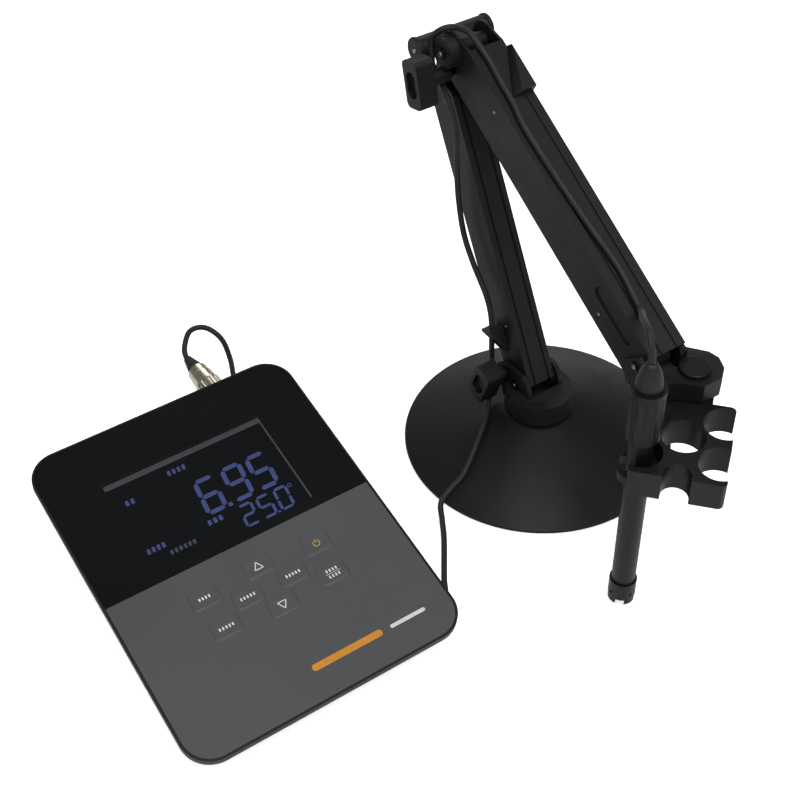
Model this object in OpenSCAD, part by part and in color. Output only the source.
// Bench pH meter: wedge console, weighted stand with a two-section levelling arm, holder and electrode.
// The origin is the centre of the stand's foot on the bench, on the turret's swivel axis.
// +X runs along the console's width, +Y points to the back, +Z is up. All sizes are millimetres.

/* [Console] */
// Width of the console face
console_w = 150; // [120:1:180]
// Depth of the console seen from above
console_d = 185.5; // [160:0.5:200]
// Height of the face at its front edge
front_h = 20; // [16:1:26]
// Height of the face at its rear edge
rear_h = 58.6; // [50:0.2:66]
// Corner radius of the face
corner_r = 16; // [8:1:20]
// Distance from the stand's axis to the console's middle line
console_x = 192.5; // [185:0.5:230]
// Wall thickness of the housings
wall = 2.2; // [1.6:0.1:3]
// Travel of a key
key_travel = 0.5; // [0.3:0.1:0.6]

/* [Stand base] */
// Radius of the weighted foot
base_r = 76; // [70:1:90]
// Height of the foot under the turret
base_h = 24; // [22:1:28]
// Radius of the turret
turret_r = 18.5; // [18:0.1:20]

/* [Arm] */
// Pivot distance of the lower arm
lower_len = 160; // [150:1:180]
// Pivot distance of the upper arm
upper_len = 182; // [178:1:190]
// Backward lean of the lower arm from vertical
lower_lean = 27; // [20:1:30]
// Downward slope of the upper arm
upper_slope = 31.5; // [25:0.5:34]
// Radius of the pivot pins
pin_r = 2; // [1.8:0.1:2.4]
// Radial clearance of the pivots
run_gap = 0.05; // [0.02:0.01:0.08]

/* [Holder and electrode] */
// Turn of the holder about its swivel
holder_turn = -48; // [-50:1:-46]
// Height of the holder's top face
holder_top = 108; // [108:0.5:110]
// Thickness of the holder
holder_t = 15; // [12:1:16]
// Radius of the large electrode openings
opening_r = 10.4; // [10:0.1:10.6]
// Radius of the electrode shaft
shaft_r = 6; // [5.5:0.1:6.2]
// Height of the electrode's lower end
tip_z = 4; // [2:1:10]

/* [Hidden] */

$fn = 48;
eps = 0.01;

// Console face frame: x across, y up the slope from the front edge, z out of the face
slope = atan((rear_h - front_h) / console_d);
face_len = console_d / cos(slope);
front_y = -100;
rim_t = 4;
overlay_inset = 1.2;
split_v = 94.4;
display_t = 1.6;
undercut = 12;
floor_z = 3;
key_size = [15, 10.4];
key_gap = 0.25;
key_rise = 0.35;
key_places = [
    [-30.3, 76.2], [0.6, 78.6], [32.4, 75.6], [-11.9, 66.4],
    [13.4, 66.4], [-28.5, 57.2], [1, 54.3], [31, 57.2]
];
window_x = [-45, 45.6];
window_v = [100.5, 158.7];
board_t = 1.6;
board_drop = 9;
board_half = 48;
post_x = 54;
post_y = [44, 143];

// Rear connectors
bnc_x = -155.5;
bnc_z = 47.5;
rear_y = 84.5;

// Arm geometry in the arm plane: [forward, height]
lower_dir = [-sin(lower_lean), cos(lower_lean)];
lower_angle = 90 + lower_lean;
upper_dir = [cos(upper_slope), -sin(upper_slope)];
foot_front = [-6.6, 41];
foot_rear = foot_front + [-10.9, 1];
elbow_front = foot_front + lower_len * lower_dir;
elbow_rear = foot_rear + lower_len * lower_dir;
top_pin = elbow_front + [8.4, 33.6];
bottom_pin = top_pin + [-1.1, -12.5];
barrel_at = top_pin + [-15.6, -3.6];
knuckle_top = top_pin + upper_len * upper_dir;
knuckle_bottom = bottom_pin + upper_len * upper_dir;
block_half = 4.9;
channel_wall = 1.5;
rear_half = 6.7;
front_half = 8.6;
top_half = 10.4;
cheek_in = 9.2;
cheek_out = 11.8;
knuckle_in = 10.7;
knuckle_out = 12.7;
lobe_r = 5;
lobe_cap_r = 8.3;
lobe_half = 16.2;
boss_r = 3.8;
barrel_r = 6.2;
barrel_half = 20;
strip_groove = 1.4;
neck_r = 4;
knob_l = 25;
knob_w = 13;
knob_t = 10.8;

// Foot: height of its rim and radius of its flat crown
rim_h = 3;
crown_r = 19.6;

// Turret and swivel
washer_t = 0.7;
turret_z = base_h + washer_t + 0.1;
slot_z = 31.5;
cheek_z = 38;
bolt_r = 5;

// Holder frame: swivel axis
swivel_at = [10.9, -100.1];
pocket_x = 18.2;
pocket_front = -48;
pocket_back = -21.5;
electrode_at = [-pocket_x, pocket_front];
holder_half = 22.3;
holder_front = -62;
holder_back = -9.2;
stud_r = 3;
stud_cap_r = 7.8;
housing_r = 10.6;
housing_top = 119.5;
housing_z = holder_top + 0.5;
guard_top = tip_z + 14;
shaft_top = 118;
cap_top = 148;

cable_r = 1.6;

module face_frame() {
    translate([-console_x, front_y, front_h]) rotate([slope, 0, 0]) children();
}

module rounded_plate(w, v0, v1, r, t) {
    linear_extrude(t) rounded_outline(w, v0, v1, r);
}

module rounded_outline(w, v0, v1, r) {
    square_x = w / 2 - r;
    for (x = [-square_x, square_x], v = [v0 + r, v1 - r]) translate([x, v]) circle(r);
    translate([-w / 2, v0 + r]) square([w, v1 - v0 - 2 * r]);
    translate([-square_x, v0]) square([2 * square_x, v1 - v0]);
}

// Places a drawing made in the arm plane, [forward, height], across the arm between two x values
module across(x_low, x_high) {
    translate([x_high, 0, 0]) rotate([90, 0, -90]) linear_extrude(x_high - x_low) children();
}

// Draws the same outline as two sheets, one each side of the arm, from inner to outer
module flanks(inner, outer) {
    across(-outer, -inner) children();
    across(inner, outer) children();
}

// Places children drawn along a link: local x along the link, local y towards its outer face
module along(p, angle) {
    translate(p) rotate(angle) children();
}

// Spacer boss round a pin, out to the flanks that turn on it
module boss(p, r, half) {
    pin(p, r, -half, half);
}

module pin(p, r, x_low, x_high) {
    translate([x_low, -p[0], p[1]]) rotate([0, 90, 0]) cylinder(r = r, h = x_high - x_low);
}

// The same pin on each side of the arm, from inner to outer
module side_pins(p, r, inner, outer) {
    pin(p, r, -outer, -inner);
    pin(p, r, inner, outer);
}

module bar(p, q, half) {
    d = q - p;
    along(p, atan2(d[1], d[0])) translate([0, -half]) square([norm(d), 2 * half]);
}

// ---------- console ----------

module console_outline(inset) {
    rounded_outline(console_w - 2 * inset, inset, face_len - inset, corner_r - inset);
}

module key_openings(gap) {
    for (p = key_places) translate([p[0], p[1], 0]) key_block(gap, -20, 20);
}

module key_block(gap, z0, z1) {
    w = key_size[0] + 2 * gap;
    d = key_size[1] + 2 * gap;
    r = 2 + gap;
    translate([0, -d / 2, z0]) rounded_plate(w, 0, d, r, z1 - z0);
}

module window_cut(grow, z0, z1) {
    translate([window_x[0] - grow, window_v[0] - grow, z0])
        cube([window_x[1] - window_x[0] + 2 * grow, window_v[1] - window_v[0] + 2 * grow, z1 - z0]);
}

module top_shell() {
    color("#1d1f20") face_frame() difference() {
        translate([0, 0, -rim_t]) linear_extrude(rim_t) console_outline(0);
        translate([0, 0, -display_t]) linear_extrude(2 * display_t) console_outline(overlay_inset);
        translate([0, 0, -rim_t - 1]) linear_extrude(rim_t - display_t - 0.2)
            console_outline(wall + 2.5);
        key_openings(0.6);
        window_cut(1, -10, 10);
    }
}

// Tapering tub under the face; lift carries a cutting copy's top clear of the rim
module tub(inset, lift) {
    hull() {
        face_frame() translate([0, 0, -rim_t - 0.1])
            linear_extrude(0.1 + lift) console_outline(1.2 + inset);
        translate([-console_x, front_y, floor_z + inset]) linear_extrude(0.1)
            rounded_outline(console_w - 2 * (undercut + inset), undercut + inset,
                console_d - 7 - inset, 12);
    }
}

// Places children on the four screw posts, beside the display and clear of the board
module at_posts() {
    for (x = [-post_x, post_x], y = post_y) translate([x - console_x, front_y + y, 0]) children();
}

module bottom_shell() {
    color("#191a1b") difference() {
        tub(0, 0);
        difference() {
            tub(wall, 1);
            at_posts() cylinder(r = 4, h = 80);
        }
        at_posts() translate([0, 0, -1]) cylinder(r = 1.6, h = 80);
        translate([bnc_x, rear_y - 20, bnc_z]) rotate([-90, 0, 0]) cylinder(r = 5, h = 30);
        translate([bnc_x - 60, rear_y - 20, bnc_z - 8]) rotate([-90, 0, 0]) cylinder(r = 4.1, h = 30);
        translate([bnc_x - 30, rear_y - 20, bnc_z - 8]) rotate([-90, 0, 0]) cylinder(r = 5.1, h = 30);
    }
}

module face_panel() {
    color("#56585a") face_frame() difference() {
        translate([0, 0, -display_t]) linear_extrude(display_t - 0.2) intersection() {
            console_outline(overlay_inset + 0.15);
            translate([-console_w, 0]) square([2 * console_w, split_v]);
        }
        key_openings(key_gap);
    }
}

module display_panel() {
    color("#101214") face_frame() difference() {
        translate([0, 0, -display_t]) linear_extrude(display_t - 0.2) intersection() {
            console_outline(overlay_inset + 0.15);
            translate([-console_w, split_v + 0.1]) square([2 * console_w, face_len]);
        }
        window_cut(0, -4, 4);
    }
}

module lcd_glass() {
    color("#20242c") face_frame() translate([window_x[0] - 0.8, window_v[0] - 0.8, -display_t - 1.6])
        cube([window_x[1] - window_x[0] + 1.6, window_v[1] - window_v[0] + 1.6, 1.5]);
}

module lcd_backlight() {
    color("#c9ccd6") face_frame() translate([window_x[0] - 0.5, window_v[0] - 0.5, -display_t - 4.8])
        cube([window_x[1] - window_x[0] + 1, window_v[1] - window_v[0] + 1, 3.1]);
}

module key(i) {
    color("#595b5d") face_frame() translate([key_places[i][0], key_places[i][1], 0]) {
        key_block(0, -display_t - 1.4, key_rise - 0.2);
        translate([0, 0, -display_t - 2.4 + 0.1]) cylinder(r = 2.5, h = 1.2);
    }
}

module keypad_mat() {
    color("#8a8d90") face_frame() difference() {
        translate([-44, 46, -board_drop + 2.2]) cube([88, 42, 1.4]);
        for (p = key_places) translate([p[0], p[1], -board_drop]) cylinder(r = 1, h = 3.2);
    }
    color("#8a8d90") face_frame() for (p = key_places)
        translate([p[0], p[1], -board_drop + 3.6 - eps])
            cylinder(r = 3.4, h = board_drop - display_t - 6 - key_travel);
}

module main_board() {
    color("#2c6b3a") face_frame() translate([-board_half, 20, -board_drop - board_t])
        cube([2 * board_half, 150, board_t]);
}

module board_chips() {
    color("#202020") face_frame() {
        for (p = [[-20, 100, 14], [12, 104, 10], [-34, 126, 8], [30, 130, 9]])
            translate([p[0], p[1], -board_drop + 0.05]) cube([p[2], p[2], 1.5]);
    }
}

module bnc_jack() {
    color("#c9c6b4") translate([bnc_x, 0, bnc_z]) rotate([-90, 0, 0]) difference() {
        union() {
            translate([0, 0, rear_y - 12]) cylinder(r = 4.8, h = 21);
            difference() {
                translate([0, 0, rear_y - 12]) cylinder(r = 8, h = 4);
                translate([-9, -13.6, rear_y - 13]) cube([18, 9, 6]);
            }
            for (a = [0, 180]) rotate(a) translate([4.5, 0, rear_y + 6.5])
                rotate([0, 90, 0]) cylinder(r = 0.9, h = 1.4);
        }
        translate([0, 0, rear_y + 2]) cylinder(r = 4, h = 10);
    }
}

module round_socket(x, r) {
    translate([x, 0, bnc_z - 8]) rotate([-90, 0, 0]) difference() {
        translate([0, 0, rear_y - 14]) cylinder(r = r, h = 13);
        translate([0, 0, rear_y - 9]) cylinder(r = r - 1.2, h = 10);
    }
}

module power_jack() {
    color("#151515") round_socket(bnc_x - 60, 4);
}

module temperature_jack() {
    color("#303030") round_socket(bnc_x - 30, 5);
}

module rubber_feet() {
    color("#101010") for (x = [-50, 50], y = [26, console_d - 24])
        translate([x - console_x, front_y + y, 0]) cylinder(r = 7, h = floor_z);
}

module case_screws() {
    color("#9a9a9a") at_posts() {
        translate([0, 0, floor_z - 2.4]) cylinder(r = 3, h = 2.3);
        translate([0, 0, floor_z - eps]) cylinder(r = 1.55, h = 12);
    }
}

// ---------- cable end at the console ----------

module bnc_plug() {
    color("#d6d2bd") translate([bnc_x, 0, bnc_z]) rotate([-90, 0, 0]) {
        difference() {
            translate([0, 0, rear_y + 9.2]) cylinder(r = 4.7, h = 14);
            translate([0, 0, rear_y + 8]) cylinder(r = 1.2, h = 3);
        }
        translate([0, 0, rear_y + 4]) cylinder(r = 1, h = 6);
        translate([0, 0, rear_y + 21]) cylinder(r = 5.8, h = 5);
    }
}

module bnc_collar() {
    color("#d9d5c2") translate([bnc_x, 0, bnc_z]) rotate([-90, 0, 0]) difference() {
        union() {
            translate([0, 0, rear_y + 2.2]) cylinder(r = 7.2, h = 11.3);
            translate([0, 0, rear_y + 13.4]) cylinder(r = 6.4, h = 7);
        }
        translate([0, 0, rear_y]) cylinder(r = 6.2, h = 10);
        translate([0, 0, rear_y]) cylinder(r = 4.7 + run_gap, h = 30);
        for (a = [0 : 30 : 330]) rotate(a) translate([7.9, 0, rear_y]) cylinder(r = 1.2, h = 12);
    }
}

module bnc_boot() {
    color("#141414") translate([bnc_x, rear_y + 26.1, bnc_z]) rotate([-90, 0, 0]) difference() {
        cylinder(r1 = 5.2, r2 = 2.6, h = 12);
        translate([0, 0, 4]) cylinder(r = cable_r + 0.2, h = 20);
    }
}

// ---------- stand base ----------

module base_shell() {
    color("#2a2a2b") rotate_extrude($fn = 96)
        polygon([[base_r - 4, 1], [base_r, 1], [base_r, rim_h], [crown_r, base_h], [8.6, base_h],
            [8.6, base_h - 2.2], [crown_r - 0.7, base_h - 2.2], [base_r - 4, rim_h + 0.4]]);
}

module base_weight() {
    color("#4b4b4d") difference() {
        rotate_extrude($fn = 96)
            polygon([[8.1, 3.1], [68, 3.1], [68, 4.2], [22, base_h - 4], [8.1, base_h - 4]]);
        translate([0, 0, 2]) cylinder(r = 12, h = 4);
    }
}

module base_pad() {
    color("#121212") difference() {
        cylinder(r = 70, h = 3);
        translate([0, 0, -1]) cylinder(r = 13, h = 5);
    }
}

module swivel_bush() {
    color("#b08d4a") difference() {
        translate([0, 0, 6.1]) cylinder(r = 8, h = base_h - 6.1);
        cylinder(r = bolt_r + run_gap, h = 40);
    }
}

module swivel_washer() {
    color("#c8c8c8") translate([0, 0, base_h]) difference() {
        cylinder(r = 15, h = washer_t);
        translate([0, 0, -1]) cylinder(r = bolt_r + 0.4, h = 3);
    }
}

module swivel_bolt() {
    color("#a8a8a8") {
        translate([0, 0, 6]) cylinder(r = bolt_r, h = 24);
        translate([0, 0, 2.4]) cylinder(r = 8.5, h = 3.6, $fn = 6);
    }
}

// ---------- turret ----------

module cheek_outline() {
    front = foot_front[0];
    rear = foot_rear[0];
    polygon([[5, turret_z], [5, cheek_z + 3], [front + 9, cheek_z + 9], [front + 5, cheek_z + 12],
        [rear - 2, cheek_z + 11], [rear - 6, cheek_z + 7], [rear - 6, cheek_z], [rear, turret_z]]);
}

module turret() {
    color("#1c1c1d") difference() {
        union() {
            translate([0, 0, turret_z]) cylinder(r = turret_r, h = cheek_z - turret_z, $fn = 96);
            flanks(cheek_in, cheek_out) cheek_outline();
        }
        translate([-cheek_in, -4, slot_z]) cube([2 * cheek_in, 60, 60]);
        translate([0, 0, 0]) cylinder(r = bolt_r, h = 30);
        for (p = [foot_front, foot_rear]) pin(p, pin_r, -40, 40);
    }
    color("#1c1c1d") difference() {
        union() {
            across(-block_half, block_half) {
                for (p = [foot_front, foot_rear]) translate(p) circle(lobe_r);
                translate([foot_rear[0] - 3, slot_z - 1])
                    square([foot_front[0] - foot_rear[0] + 6, foot_front[1] - slot_z + 2]);
            }
            boss(foot_front, boss_r, front_half - channel_wall - 0.1);
        }
        for (p = [foot_front, foot_rear]) pin(p, pin_r, -40, 40);
    }
}

// The rear pins stop short of the front link's flanks, which sweep between them
module turret_pins() {
    color("#b9b9b9") {
        pin(foot_front, pin_r, -cheek_out, cheek_out);
        side_pins(foot_front, 2.8, cheek_out, cheek_out + 1.2);
        pin(foot_rear, pin_r, -rear_half - 0.2, rear_half + 0.2);
        pin(foot_rear, pin_r, -cheek_out - 4, -cheek_in);
        pin(foot_rear, pin_r, cheek_in, cheek_out);
        pin(foot_rear, 3.2, cheek_out, cheek_out + 1.2);
    }
}

// Wing knob: a round neck from x = 0 towards negative x, then a rounded bar turned about the x axis
module wing_knob(neck, turn, bore) {
    difference() {
        union() {
            rotate([0, -90, 0]) cylinder(r = neck_r, h = neck + 1);
            rotate([turn, 0, 0]) translate([-neck, 0, 0]) knob_bar();
        }
        translate([1, 0, 0]) rotate([0, -90, 0]) cylinder(r = bore, h = 6);
        rotate([turn, 0, 0]) translate([-neck - knob_t - 1, 0, 0]) {
            for (z = [-3, 3]) translate([0, 0, z]) rotate([0, 90, 0]) cylinder(r = 4, h = 3.5);
            translate([0, -4, -3]) cube([3.5, 8, 6]);
        }
    }
}

module knob_bar() {
    r = 3;
    rotate([0, -90, 0]) linear_extrude(knob_t) {
        for (x = [-1, 1], y = [-1, 1]) translate([x * (knob_l / 2 - r), y * (knob_w / 2 - r)]) circle(r);
        square([knob_l, knob_w - 2 * r], center = true);
        square([knob_l - 2 * r, knob_w], center = true);
    }
}

module base_knob() {
    color("#232324") translate([-cheek_out - 0.3, -foot_rear[0], foot_rear[1]])
        wing_knob(6.8, 20, pin_r + run_gap);
}

// ---------- lower arm ----------

module lower_front_link() {
    color("#333334") difference() {
        union() {
            flanks(front_half - channel_wall, front_half)
                along(foot_front, lower_angle) link_flank(lower_len, 8.5, -8.5, 8.5);
            across(-front_half, front_half) along(foot_front, lower_angle)
                translate([-2, -8.5]) square([lower_len + 4, channel_wall]);
        }
        link_grooves(foot_front, lower_angle, -20, lower_len + 20, -8.5);
        for (p = [foot_front, elbow_front]) pin(p, pin_r + run_gap, -40, 40);
    }
}

// Side outline of a link from its first pin to its second, both ends rounded
module link_flank(len, r, low, high) {
    circle(r);
    translate([len, 0]) circle(r);
    translate([0, low]) square([len, high - low]);
}

// Two shallow grooves along a link's outer face, either side of its middle strip
module link_grooves(p, angle, from, to, y) {
    depth = 0.8;
    for (s = [-1, 1]) across(s * 4.7 - strip_groove / 2, s * 4.7 + strip_groove / 2) along(p, angle)
        translate([from, y > 0 ? y - depth : y - 1]) square([to - from, depth + 1]);
}

module lower_rear_link() {
    color("#2b2b2c") difference() {
        union() {
            flanks(rear_half - channel_wall, rear_half)
                along(foot_rear, lower_angle) rear_flank(lower_len, 7, -3);
            across(-rear_half, rear_half) along(foot_rear, lower_angle)
                translate([3, 5.5]) square([lower_len - 6, channel_wall]);
        }
        for (p = [foot_rear, elbow_rear]) pin(p, pin_r + run_gap, -40, 40);
    }
}

// Side outline of the rear link, with smaller ends that clear the blocks
module rear_flank(len, high, low) {
    for (x = [0, len]) translate([x, 0]) circle(4.5);
    translate([0, low]) square([len, high - low]);
}

// ---------- elbow ----------

module elbow_block() {
    color("#1f1f20") difference() {
        union() {
            across(-block_half, block_half) {
                for (p = [elbow_front, elbow_rear, top_pin, bottom_pin]) translate(p) circle(4.8);
                bar(elbow_front, elbow_rear, 4.6);
                bar(elbow_rear, barrel_at, 4.6);
                bar(barrel_at, top_pin, 4.6);
                bar(top_pin, bottom_pin, 4.6);
            }
            pin(barrel_at, barrel_r, -barrel_half, barrel_half);
            boss(elbow_front, boss_r, front_half - channel_wall - 0.1);
            boss(top_pin, lobe_r - 0.5, top_half - channel_wall - 0.1);
            boss(bottom_pin, boss_r, front_half - channel_wall - 0.1);
        }
        for (p = [elbow_front, elbow_rear, top_pin, bottom_pin]) pin(p, pin_r, -40, 40);
        pin(barrel_at, 2.5, -40, 40);
    }
}

module elbow_pins() {
    color("#b9b9b9") {
        pin(elbow_front, pin_r, -front_half - 0.6, front_half + 0.2);
        pin(elbow_rear, pin_r, -rear_half - 0.2, rear_half + 0.2);
        pin(top_pin, pin_r, -lobe_half - 0.3, top_half + 0.3);
        pin(top_pin, 3.2, -lobe_half - 1.4, -lobe_half - 0.2);
        pin(top_pin, 3.2, top_half + 0.2, top_half + 1.4);
        pin(bottom_pin, pin_r, -top_half - 5.5, front_half + 0.2);
    }
}

module barrel_caps() {
    color("#2e2e2f") {
        pin(barrel_at, 2.5, -barrel_half, barrel_half);
        side_pins(barrel_at, barrel_r + 0.6, barrel_half, barrel_half + 2.5);
    }
}

module elbow_knob() {
    color("#232324") translate([-top_half - 1.7, -bottom_pin[0], bottom_pin[1]])
        wing_knob(11.2, -12, pin_r + run_gap);
}

// ---------- upper arm ----------

module upper_top_link() {
    color("#3a3a3b") difference() {
        union() {
            flanks(top_half - channel_wall, top_half)
                along(top_pin, -upper_slope) top_flank();
            across(-top_half, top_half) along(top_pin, -upper_slope)
                translate([9, 10.5]) square([upper_len - 7, channel_wall]);
            pin(top_pin, lobe_cap_r, -lobe_half, 0.1 - top_half);
        }
        link_grooves(top_pin, -upper_slope, 40, upper_len + 20, 12);
        for (p = [top_pin, knuckle_top]) pin(p, pin_r + run_gap, -40, 40);
        across(-top_half - 1, -top_half + 0.8) along(top_pin, -upper_slope) {
            for (x = [upper_len - 38, upper_len - 14]) translate([x, 2.5]) circle(4);
            translate([upper_len - 38, -1.5]) square([24, 8]);
        }
    }
}

// Side outline of the upper link: a round lobe at the elbow that rises to the flat top
module top_flank() {
    intersection() {
        union() {
            circle(9.3);
            polygon([[0, -5], [-3, 8], [2, 9.8], [9, 12], [upper_len + 2, 12], [upper_len + 2, -5]]);
            translate([upper_len, 0]) circle(8);
        }
        translate([-20, -5]) square([upper_len + 40, 17]);
    }
}

module upper_bottom_link() {
    color("#2e2e2f") difference() {
        union() {
            flanks(front_half - channel_wall, front_half)
                along(bottom_pin, -upper_slope) {
                    for (x = [0, upper_len]) translate([x, 0]) circle(6);
                    translate([0, -6.5]) square([upper_len, 10]);
                }
            across(-front_half, front_half) along(bottom_pin, -upper_slope)
                translate([5, -6.5]) square([upper_len - 10, channel_wall]);
        }
        for (p = [bottom_pin, knuckle_bottom]) pin(p, pin_r + run_gap, -40, 40);
    }
}

module upper_wedge() {
    color("#2c2c2d") link_frame(top_pin, -upper_slope) hull() {
        translate([0, 0, -12.2]) linear_extrude(0.1) wedge_plan(top_half, 13, 39.5, -1.5);
        translate([0, 0, -16.7]) linear_extrude(0.1) wedge_plan(top_half, 15, 39.5, 2.5);
    }
}

module lower_wedge() {
    color("#2c2c2d") link_frame(foot_front, lower_angle) translate([0, 0, -12]) linear_extrude(9)
        wedge_plan(-front_half, 18, 34, -front_half - 8.6);
}

module wedge_plan(flank, from, to, tip) {
    polygon([[flank, from], [tip, to - 1.5], [tip, to], [flank, to]]);
}

// Frame on a link: x across the arm, y along the link, z towards the arm's underside
module link_frame(p, angle) {
    translate([0, -p[0], p[1]]) rotate([180 - angle, 0, 0]) children();
}

// ---------- knuckle ----------

module knuckle() {
    ax = swivel_at[0];
    ay = swivel_at[1];
    color("#232324") difference() {
        union() {
            across(-block_half, block_half) {
                for (p = [knuckle_top, knuckle_bottom]) translate(p) circle(4.8);
                bar(knuckle_top, knuckle_bottom, 4.6);
                translate([knuckle_bottom[0], housing_z]) square([14, housing_top - housing_z]);
            }
            boss(knuckle_top, lobe_r - 0.5, top_half - channel_wall - 0.1);
            boss(knuckle_bottom, boss_r, front_half - channel_wall - 0.1);
            flanks(knuckle_in, knuckle_out) cheek_side();
            translate([-knuckle_out, -97, housing_z])
                cube([2 * knuckle_out, 3.5, housing_top - housing_z]);
            translate([ax, ay, housing_z]) linear_extrude(housing_top - housing_z) housing_plan();
        }
        translate([ax, ay, 0]) cylinder(r = stud_r + run_gap, h = 200);
        translate([ax, ay, housing_top]) cylinder(r = stud_cap_r + 0.3, h = 20);
        for (p = [knuckle_top, knuckle_bottom]) pin(p, pin_r, -40, 40);
        translate([block_half, -93.5, 0]) cube([5.7, 20, 200]);
    }
}

// Plan of the nose that carries the swivel, about the swivel axis
module housing_plan() {
    circle(housing_r);
    polygon([[-0.2, 20], [4, 20], [14.5, 6], [15.5, 0], [12.5, -7], [6.8, -11.5], [-4, -11.5],
        [-11, -4], [-23.6, 3.1], [-23.6, 6.6], [-0.2, 6.6]]);
}

module cheek_side() {
    polygon([[knuckle_top[0] - 9, knuckle_top[1] - 2], [knuckle_bottom[0] - 4, housing_z], [97, housing_z],
        [97, housing_top], [knuckle_top[0] + 7, knuckle_top[1] + 4],
        [knuckle_top[0] + 2, knuckle_top[1] + 7]]);
}

module knuckle_pins() {
    color("#b9b9b9") {
        pin(knuckle_top, pin_r, -knuckle_out, knuckle_out);
        side_pins(knuckle_top, 2.5, knuckle_out, knuckle_out + 1);
        pin(knuckle_bottom, pin_r, -front_half - 0.2, front_half + 0.2);
    }
}

// ---------- holder ----------

module holder_frame() {
    translate([swivel_at[0], swivel_at[1], 0]) rotate(holder_turn) children();
}

module holder() {
    z0 = holder_top - holder_t;
    color("#26282a") holder_frame() difference() {
        union() {
            translate([0, 0, z0]) rounded_plate(2 * holder_half, holder_front, holder_back, 3, holder_t);
            translate([-11, holder_back - 2, z0]) cube([22, 2 - holder_back, holder_t]);
            translate([0, 0, z0]) cylinder(r = 9.2, h = holder_t);
        }
        translate([0, -34, z0 - 1]) cylinder(r = opening_r, h = 30);
        for (s = [-1, 1], y = [pocket_back, pocket_front])
            translate([s * pocket_x, y, z0 - 1]) cylinder(r = opening_r, h = 30);
        translate([0, -59.6, z0 - 1]) cylinder(r = 6.5, h = 30);
        translate([-6.5, -80, z0 - 1]) cube([13, 20.4, 30]);
        translate([0, 0, z0 - 1]) cylinder(r = stud_r, h = 30);
    }
}

module swivel_stud() {
    z0 = holder_top - holder_t;
    color("#2b2d2f") holder_frame() {
        translate([0, 0, z0]) cylinder(r = stud_r, h = housing_top + 0.3 - z0);
        translate([0, 0, housing_top + 0.2]) cylinder(r = stud_cap_r, h = 2.4);
        translate([0, 0, z0 - 1.6]) cylinder(r = 5, h = 1.6);
    }
}

module adapter_ring() {
    z0 = holder_top - holder_t;
    color("#18191a") holder_frame() translate([electrode_at[0], electrode_at[1], z0 + 0.5]) difference() {
        cylinder(r = opening_r - 0.02, h = 5);
        translate([0, 0, -1]) cylinder(r = shaft_r + run_gap, h = 8);
        for (a = [-50, 50]) rotate(a) translate([8.3, 0, -1]) cylinder(r = 1.6, h = 8);
        translate([-20, -4.5, -1]) cube([16, 9, 8]);
    }
}

// ---------- electrode ----------

module electrode_frame() {
    holder_frame() translate([electrode_at[0], electrode_at[1], 0]) children();
}

module electrode_body() {
    color("#1a1b1d") electrode_frame() difference() {
        translate([0, 0, guard_top - 6]) cylinder(r = shaft_r, h = shaft_top - guard_top + 6);
        translate([0, 0, guard_top - 7]) cylinder(r = 4.6, h = 60);
    }
}

module electrode_cap() {
    color("#303234") electrode_frame() difference() {
        cylinder_between(8, 8.4, shaft_top, cap_top);
        for (a = [0 : 30 : 330]) rotate(a)
            translate([9.5, 0, shaft_top + 3]) cylinder(r = 1.6, h = cap_top - shaft_top - 6);
    }
}

module cylinder_between(r_low, r_high, z_low, z_high) {
    translate([0, 0, z_low]) cylinder(r1 = r_low, r2 = r_high, h = z_high - z_low);
}

module strain_relief() {
    color("#202122") electrode_frame() {
        cylinder_between(6.3, 5.6, cap_top, cap_top + 4.5);
        cylinder_between(5.6, 2.4, cap_top + 4.5, cap_top + 14);
    }
}

module glass_bulb() {
    color("#b8d4c8") electrode_frame() {
        translate([0, 0, guard_top - 8]) sphere(r = 3.6);
        translate([0, 0, guard_top - 8]) cylinder(r = 2.6, h = 50);
    }
}

module reference_junction() {
    color("#e8e6da") electrode_frame() difference() {
        translate([0, 0, guard_top + 2]) cylinder(r = 4.5, h = 5);
        translate([0, 0, guard_top]) cylinder(r = 2.7, h = 9);
    }
}

module bulb_guard() {
    color("#1c1d1f") electrode_frame() difference() {
        translate([0, 0, tip_z]) cylinder(r = 6.9, h = guard_top - tip_z);
        translate([0, 0, tip_z - 1]) cylinder(r = 5.4, h = guard_top - 6 - tip_z + 1);
        translate([0, 0, tip_z + 2]) cylinder(r = shaft_r, h = 20);
        for (a = [0, 90]) rotate(a) translate([-10, -2.2, tip_z - 1]) cube([20, 4.4, 4]);
        for (a = [45 : 90 : 315]) rotate(a)
            translate([4, 0, tip_z + 6.5]) rotate([0, 90, 0]) cylinder(r = 0.9, h = 5);
    }
}

// ---------- cable ----------

function unit(v) = v / norm(v);

function square_to(n, t) = unit(n - (n * t) * t);

function tangent(p, i) = unit(p[min(i + 1, len(p) - 1)] - p[max(i - 1, 0)]);

// Catmull-Rom point between b and c
function spline(a, b, c, d, t) =
    0.5 * (2 * b + (c - a) * t + (2 * a - 5 * b + 4 * c - d) * t * t + (3 * b - a - 3 * c + d) * t * t * t);

function smooth(p, steps) = concat([
    for (i = [0 : len(p) - 2], k = [0 : steps - 1])
        spline(p[max(i - 1, 0)], p[i], p[i + 1], p[min(i + 2, len(p) - 1)], k / steps)
], [p[len(p) - 1]]);

// Normals carried along the path without twist
function carried(p, start) = [
    for (i = 0, n = square_to(start, tangent(p, 0)); i < len(p);
        i = i + 1, n = square_to(n, tangent(p, min(i, len(p) - 1)))) n
];

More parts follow.
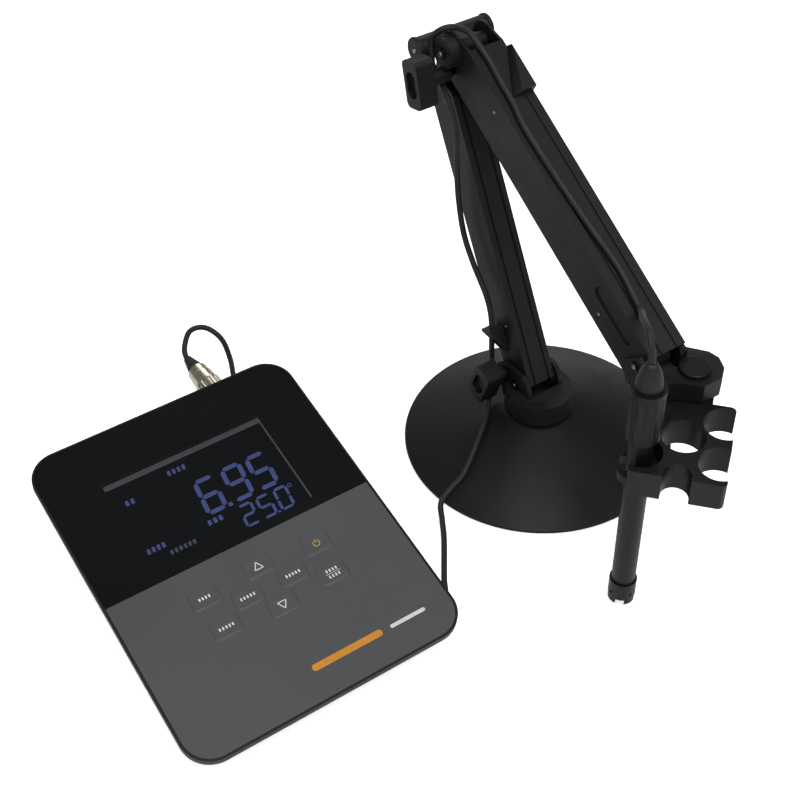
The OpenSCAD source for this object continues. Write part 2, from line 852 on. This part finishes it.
// Round cable through the points
module run(points, r) {
    sides = 10;
    path = smooth(points, 4);
    normal = carried(path, [0.2, 0.3, 1]);
    rings = [for (i = [0 : len(path) - 1], k = [0 : sides - 1]) let (turn = 360 * k / sides)
        path[i] + r * (cos(turn) * normal[i] + sin(turn) * cross(tangent(path, i), normal[i]))];
    last = (len(path) - 1) * sides;
    walls = [for (i = [0 : len(path) - 2], k = [0 : sides - 1], half = [0, 1])
        let (a = i * sides + k, b = i * sides + (k + 1) % sides)
            half == 0 ? [a, b, b + sides] : [a, b + sides, a + sides]];
    ends = [[for (k = [0 : sides - 1]) sides - 1 - k], [for (k = [0 : sides - 1]) last + k]];
    polyhedron(rings, [for (f = concat(walls, ends)) [for (k = [len(f) - 1 : -1 : 0]) f[k]]]);
}

module bench_cable() {
    lay = cable_r + 0.2;
    side = -console_x + console_w / 2;
    end_y = rear_y + 38;
    color("#121212") {
        run([[bnc_x, end_y - 7, bnc_z], [bnc_x, end_y - 1, bnc_z], [bnc_x, end_y + 3, bnc_z],
            [bnc_x + 3, end_y + 10, bnc_z + 1],
            [bnc_x + 11.5, end_y + 20, bnc_z + 1.5], [bnc_x + 21, end_y + 20, bnc_z - 0.5],
            [bnc_x + 27.5, end_y + 14, bnc_z - 8], [bnc_x + 29.5, end_y + 10, bnc_z - 22],
            [bnc_x + 30, end_y + 9, 10], [bnc_x + 33, end_y + 2, lay + 0.6], [side + 4, 95, lay],
            [side + 6, 50, lay], [side + 3, 0, lay], [side - 2, -40, lay], [side - 3, -60, lay],
            [side + 2, -68, lay], [side + 8, -66, lay], [side + 13, -58, lay], [side + 28, -36, lay],
            [side + 35, -24, lay]], cable_r);
    }
}

// Height of the foot's cone at radius r
function foot_surface(r) = rim_h + (base_r - r) * (base_h - rim_h) / (base_r - crown_r);
function on_foot(x, y) = [x, y, foot_surface(norm([x, y])) + cable_r + 0.3];

module base_cable() {
    color("#121212") run([[-console_x + console_w / 2 + 35.5, -23.2, cable_r + 0.2], [-77, -15, 4],
        on_foot(-68, -12), on_foot(-60, -10.5), on_foot(-51, -5.6), on_foot(-40.6, 1.4),
        on_foot(-31, 8.5)], cable_r);
}

module lower_cable() {
    side = -cheek_out - 2.2;
    color("#121212") run([[side, 28, 76], [side, 33, 88], [side, 46, 103], [side, 55, 118], [side, 60, 140],
        [side, 61, 160]], cable_r);
}

module upper_cable() {
    lift = -12 - cable_r - 0.1;
    color("#121212") link_frame(top_pin, -upper_slope)
        run([[-4.6, 43, lift], [-6, 56, lift], [-5.4, 80, lift], [-3.4, 112, lift],
            [-1.2, 137, lift], [-2.2, 153, lift]], cable_r);
}

module electrode_cable() {
    color("#121212") electrode_frame() run([[0, 0, cap_top + 15.5], [1.5, 3, 172]], cable_r);
}

top_shell();
bottom_shell();
face_panel();
display_panel();
lcd_glass();
lcd_backlight();
keypad_mat();
key(0);  // mode_key
key(1);  // up_key
key(2);  // power_key
key(3);  // standardize_key
key(4);  // slope_key
key(5);  // clear_key
key(6);  // down_key
key(7);  // measure_key
main_board();
board_chips();
bnc_jack();
power_jack();
temperature_jack();
rubber_feet();
case_screws();
bnc_plug();
bnc_collar();
bnc_boot();
base_shell();
base_weight();
base_pad();
swivel_bush();
swivel_washer();
swivel_bolt();
turret();
turret_pins();
base_knob();
lower_front_link();
lower_rear_link();
elbow_block();
elbow_pins();
barrel_caps();
elbow_knob();
upper_top_link();
upper_bottom_link();
upper_wedge();
lower_wedge();
knuckle();
knuckle_pins();
holder();
swivel_stud();
adapter_ring();
electrode_body();
electrode_cap();
strain_relief();
glass_bulb();
bulb_guard();
reference_junction();
bench_cable();
base_cable();
lower_cable();
upper_cable();
electrode_cable();
